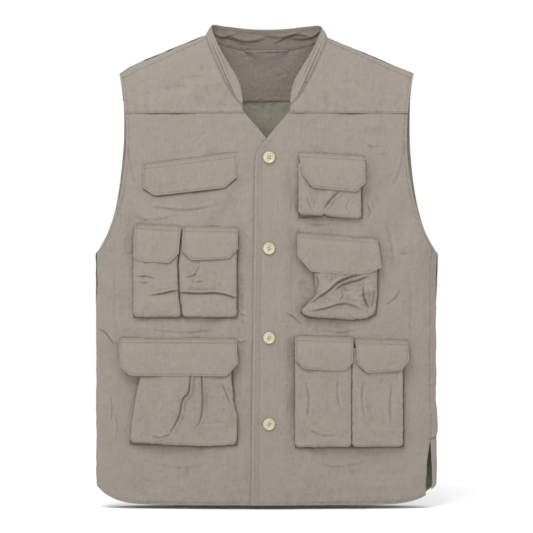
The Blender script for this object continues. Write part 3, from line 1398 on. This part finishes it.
def flap_points(name, columns, rows):
    top_left, top_right = np.array(FLAPS[name][:2], float)
    u, v = np.meshgrid(columns, rows)
    line = flap_outline(name)
    steps = np.concatenate([[0], np.cumsum(np.hypot(*np.diff(line, axis=0).T))])
    by_x = np.interp(mix(line[0, 0], line[-1, 0], u), line[:, 0], steps)
    place = 0.35 * u * steps[-1] + 0.65 * by_x
    bottom = np.stack([np.interp(place, steps, column) for column in line.T], -1)
    top = mix(top_left, top_right, u[..., None])
    x, h = np.moveaxis(mix(top, bottom, (1 - v)[..., None]), -1, 0)
    down = np.hypot(x - top[..., 0], h - top[..., 1])
    base, reach = (1.75, 1.1) if name == "chest_right" else (1.5, 10.9)
    out = base + reach * (1 - (1 - np.clip(down / 22, 0, 1)) ** 2)
    return np.stack([x, -front_depth(x) - out, h], -1), down


def flap_relief(name, x, h, down, from_edge):
    seed = 300 + 7 * list(FLAPS).index(name)
    relief = folded(x, h, [(points, 0.4 * tall, 1.4 * wide) for points, tall, wide in FLAP_FOLDS[name]])
    relief = relief + crumple(x, h, 42, 0.8, seed) + crumple(x, h, 14, 0.3, seed + 1)
    relief *= smooth(down, 1, 14)
    relief += 0.32 * lattice_noise(x * 0.9, h / 3, 7, seed + 2) * bell(down, 9)
    relief += 0.3 * lattice_noise(x, h, 6, seed + 3) * bell(from_edge, 4)
    relief -= 0.45 * bell(from_edge - 2.2, 0.8)
    relief -= 0.5 * sum(bell(down - row, 0.7) for row in FLAP_ROWS)
    relief += 0.9 * smooth(down, 30, FLAP_DROP) * lattice_noise(x, 0 * h, 45, seed + 5)
    return np.clip(relief, -0.6, 2.5)


def build_flap(name):
    top_left, top_right = np.array(FLAPS[name][:2], float)
    middle, down = flap_points(name, shares(top_right[0] - top_left[0], FLAP_GRID),
                               shares(FLAP_DROP, FLAP_GRID))
    x, h = plan(middle)
    border = np.vstack([middle[::-1, 0], middle[0], middle[:, -1]])[:, [0, 2]]
    from_edge = near_path(x, h, border[::3])[0]
    relief = flap_relief(name, x, h, down, from_edge)
    dark = sum(0.22 * bell(down - row, 0.9) for row in FLAP_ROWS) + 0.2 * bell(from_edge - 2.4, 0.9)
    piece = cloth_sheet(f"flap_{name}_cloth", middle, FLAP_CLOTH, relief, [CLOTH_FLAP, CLOTH_IN], None,
                        worn(relief, 0.45), dark=dark)
    length = np.hypot(*(top_right - top_left))
    way = (top_right - top_left) / length
    under = np.array([way[1], -way[0]])
    top_row = top_left + np.linspace(1.5, length - 1.5, 40)[:, None] * way
    paths = [top_row + under * row for row in FLAP_ROWS] + [inset_border(border, FLAP_LINE)]
    pale = PALE_THREAD if name == "mid_left" else SEAM_THREAD
    thread = stitches(f"flap_{name}_stitching", surface_finder(piece), paths, pale)
    x_hinge, h_hinge = (top_left + top_right) / 2
    start = to_frame([x_hinge, -front_depth(x_hinge) - 1.5, h_hinge])
    finish(piece, [f"flap_{name}"],
           lambda item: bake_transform(item),
           thread=thread)


def inset_border(border, distance):
    """A line a little inside a flap's side and lower edges."""
    centre = border.mean(axis=0)
    line = border[4:-4:2]
    way = np.gradient(line, axis=0)
    way /= np.maximum(np.hypot(way[:, 0], way[:, 1])[:, None], 1e-9)
    normal = np.stack([-way[:, 1], way[:, 0]], -1)
    inward = np.sign(np.sum(normal * (centre - line), axis=1))[:, None]
    return line + normal * inward * distance


# ------------------------------------------------------------------ the inset chest pocket

SLOT_TILT = math.radians(7.3)
SLOT_CENTRE = (-116.8, 505.1)
SLOT_HALF = (48.3, 4)


def slot_frame(x, h):
    """Distance along and across the slot of the inset pocket, from its middle."""
    dx = x - SLOT_CENTRE[0]
    dh = h - SLOT_CENTRE[1]
    along = dx * math.cos(SLOT_TILT) + dh * math.sin(SLOT_TILT)
    across = dh * math.cos(SLOT_TILT) - dx * math.sin(SLOT_TILT)
    return along, across


def in_slot(x, h, less=0.0):
    along, across = slot_frame(x, h)
    return (np.abs(along) < SLOT_HALF[0] - less) & (np.abs(across) < SLOT_HALF[1] - less)


def build_welts():
    """Two folded bands that bind the lips of the slot."""
    for name, centre in (("upper_welt", 3.0), ("lower_welt", -3.0)):
        u, v = np.meshgrid(shares(103, 2.5), shares(5.6, 1.2))
        along = mix(-51.5, 51.5, u)
        across = centre + 5.6 * (v - 0.5)
        x = SLOT_CENTRE[0] + along * math.cos(SLOT_TILT) - across * math.sin(SLOT_TILT)
        h = SLOT_CENTRE[1] + along * math.sin(SLOT_TILT) + across * math.cos(SLOT_TILT)
        middle = np.stack([x, -front_depth(x) - 0.35, h], -1)
        relief = 0.12 * lattice_noise(x, h, 6, 401)
        piece = cloth_sheet(f"{name}_chest_right", middle, FLAP_CLOTH, relief, [CLOTH_OUT])
        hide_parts("front_panel_right")
        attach(piece, "front_right")


def build_inner_bag():
    spec = simple_pocket(-171, -58.5, 398, 508)
    spec["bottom"] = [(-171, 392), (-58.5, 406)]
    spec["top"] = [(-171, 500), (-58.5, 514)]
    middle, nearest = bag_points(spec, shares(125, LINING_GRID), shares(115, LINING_GRID), push=-0.82)
    middle = middle[:, ::-1]
    x, h = plan(middle)
    relief = (crumple(x, h, 36, 0.8, 411) + crumple(x, h, 12, 0.25, 412)) * smooth(nearest[:, ::-1], 4, 16)
    piece = cloth_sheet("inner_bag", middle, THIN_CLOTH, relief, [LINING])
    finish(piece, ["inner_bag_chest_right"], riding("front_right"))


# ------------------------------------------------------------------ buttons

BUTTON_PROFILE = [(0, 0.1), (6.2, 0), (8.2, 0.7), (8.9, 1.7), (8.75, 2.6), (8.2, 3.15), (7.4, 3.35),
                  (6.7, 3.2), (6.2, 2.75), (5.4, 2.5), (3.5, 2.42), (0, 2.4)]
HOLE_RADIUS = 0.95
HOLE_SPACING = 2.1
BUTTON_BACK = OVER_LIFT + CLOTH / 2 + 0.3


def hole_places():
    return [(HOLE_SPACING * math.cos(turn), HOLE_SPACING * math.sin(turn))
            for turn in (math.pi / 4 + quarter * math.pi / 2 for quarter in range(4))]


def turned_mesh(name, profile, segments, material):
    """A profile of radius and depth, turned about an axis that points out of the front."""
    turns = [2 * math.pi * k / segments for k in range(segments)]
    points = [(radius * math.cos(turn) * MM, -depth * MM, radius * math.sin(turn) * MM)
              for radius, depth in profile[1:-1] for turn in turns]
    back = len(points)
    points += [(0, -profile[0][1] * MM, 0), (0, -profile[-1][1] * MM, 0)]
    faces = []
    for k in range(segments):
        n = (k + 1) % segments
        faces += [(back, n, k), (back + 1, back - segments + k, back - segments + n)]
        for a in range(0, back - segments, segments):
            faces.append((a + k, a + n, a + segments + n, a + segments + k))
    return link_mesh(name, points, faces, [material])


def drill_holes(button):
    drills = []
    for x, z in hole_places():
        bpy.ops.mesh.primitive_cylinder_add(vertices=20, radius=HOLE_RADIUS * MM, depth=12 * MM,
                                            location=(x * MM, 0, z * MM), rotation=(math.pi / 2, 0, 0))
        drills.append(bpy.context.object)
        cut = button.modifiers.new("hole", "BOOLEAN")
        cut.operation = "DIFFERENCE"
        cut.solver = "EXACT"
        cut.object = drills[-1]
    evaluated = button.evaluated_get(bpy.context.evaluated_depsgraph_get())
    mesh = bpy.data.meshes.new_from_object(evaluated)
    button.modifiers.clear()
    button.data = mesh
    for drill in drills:
        bpy.data.objects.remove(drill)


BUTTON_SPINS = (0.1, -0.25, 0.18, 0.4)


def build_buttons(over_front):
    drilled = None
    for number, (height, spin) in enumerate(zip(BUTTON_HEIGHTS, BUTTON_SPINS), 1):
        name = f"button_{number}_horn"
        if drilled is None:
            button = turned_mesh(name, BUTTON_PROFILE, 64, HORN)
            drill_holes(button)
            drilled = button.data
        else:
            button = bpy.data.objects.new(name, drilled.copy())
            bpy.context.collection.objects.link(button)
        button.rotation_euler = (0.02 * (number - 2), spin, 0.015 * (2 - number))
        button.location = to_frame([BUTTON_X, -front_depth(BUTTON_X) - BUTTON_BACK, height])
        bpy.context.view_layer.update()
        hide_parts(f"button_{number}")
        build_button_thread(number, button.matrix_world.copy())
        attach(button, "front_right")
        build_buttonhole(number, over_front)


def build_button_thread(number, matrix):
    """A cross of thread over the button, four legs through it and the shank below."""
    ends = []

    def strand(start, end, normal):
        ends.append((matrix @ (Vector(start) * MM), matrix @ (Vector(end) * MM), Vector(normal)))

    places = hole_places()
    for (ax, az), (bx, bz) in zip(places[:2], places[2:]):
        for shift in (-0.38, 0, 0.38):
            side = Vector((-(bz - az), 0, bx - ax)).normalized() * shift
            start = Vector((ax, -2.5, az)) + side
            end = Vector((bx, -2.5, bz)) + side
            middle = (start + end) / 2 + Vector((0, -0.5, 0))
            strand(start, middle, (0, -1, 0))
            strand(middle, end, (0, -1, 0))
    for x, z in places:
        strand((x, -2.6, z), (x * 0.5, 1.4, z * 0.5), (1, 0, 0))
    for angle in np.arange(6) * math.pi / 3:
        twist = angle + 0.6
        strand((1.1 * math.cos(angle), 3.3, 1.1 * math.sin(angle)),
               (0.8 * math.cos(twist), -0.2, 0.8 * math.sin(twist)), (math.cos(angle), 0, math.sin(angle)))
    thread = stitch_mesh(f"button_{number}_thread", ends, 0.42 * MM, BUTTON_THREAD)
    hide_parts(f"button_thread_{number}")
    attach(thread, "front_right")


def build_buttonhole(number, over_front):
    """Close purl stitches all round the slit."""
    height = BUTTON_HEIGHTS[number - 1]
    trees = surface_finder(over_front)
    middle, half = SLIT[0] + 0.05, SLIT[1] + 0.05
    ends = []
    for turn in np.linspace(0, 2 * math.pi, 76, endpoint=False):
        right, up = math.cos(turn), math.sin(turn)
        x_in = middle + half * math.copysign(abs(right) ** 0.35, right)
        x_out = x_in + 1.5 * right * (0.75 + 0.25 * math.cos(3 * turn))
        inner = drop(trees, x_in, height + 0.55 * up + math.copysign(0.2, up))
        outer = drop(trees, x_out, height + 2.3 * math.copysign(abs(up) ** 0.5, up))
        if inner is None or outer is None or (inner[0] - outer[0]).length > 4 * MM:
            continue
        lift = Vector((0, -0.12 * MM, 0))
        ends.append((inner[0] + lift, outer[0] + lift, Vector((0, -1, 0))))
    thread = stitch_mesh(f"buttonhole_{number}_stitching", ends, 0.26 * MM, SEAM_THREAD)
    bending()(thread)


# ------------------------------------------------------------------ light, camera and floor


def set_stage():
    scene = bpy.context.scene
    scene.view_settings.view_transform = "Standard"
    world = bpy.data.worlds.new("studio")
    world.use_nodes = True
    background = world.node_tree.nodes["Background"]
    background.inputs["Color"].default_value = (1, 1, 1, 1)
    background.inputs["Strength"].default_value = 1.0
    scene.world = world
    bpy.ops.mesh.primitive_plane_add(size=6, location=(0, 0, cad_bounds[0][2] - 0.006))
    floor = bpy.context.object
    floor.name = "floor"
    paper, _, shader = node_material("paper", 0.9)
    shader.inputs["Base Color"].default_value = (0.97, 0.97, 0.97, 1)
    shader.inputs["Specular IOR Level"].default_value = 0.1
    floor.data.materials.append(paper)
    floor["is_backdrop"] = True
    add_area("key", (-0.7, -2.1, 2.2), 1.5, 66)
    add_area("fill", (1.6, -2.2, 0.2), 1.6, 5)


def add_area(name, place, size, power):
    lamp = bpy.data.lights.new(name, "AREA")
    lamp.energy = power
    lamp.size = size
    light = bpy.data.objects.new(name, lamp)
    light.location = place
    way = Vector((0, 0, -0.3)) - Vector(place)
    light.rotation_euler = way.to_track_quat("-Z", "Y").to_euler()
    bpy.context.collection.objects.link(light)


CAMERA_DISTANCE = 4.5
FRAME_WIDTH = 0.7995
FRAME_MIDDLE = 358.5


def set_camera():
    camera_data = bpy.data.cameras.new("camera")
    camera_data.sensor_width = 36
    camera_data.lens = 36 * CAMERA_DISTANCE / FRAME_WIDTH
    camera = bpy.data.objects.new("camera", camera_data)
    front = (Y0 - FRONT_DEPTH) * MM
    camera.location = (0, front - CAMERA_DISTANCE, (FRAME_MIDDLE + Z0) * MM)
    camera.rotation_euler = (math.pi / 2, 0, 0)
    bpy.context.collection.objects.link(camera)
    bpy.context.scene.camera = camera


# ------------------------------------------------------------------ the vest

over_front = build_front(1)
build_front(-1)
build_facing(1)
build_facing(-1)
build_back()
build_back_yoke()
build_lining()
build_front_yoke(1)
build_front_yoke(-1)
build_collar()
build_hang_loop()
for pocket in POCKETS:
    build_pocket(pocket)
for flap in FLAPS:
    build_flap(flap)
build_welts()
build_inner_bag()
build_buttons(over_front)
set_stage()
set_camera()

size = {"cad": cad_bounds, "visual": [list(corner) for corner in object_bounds()]}
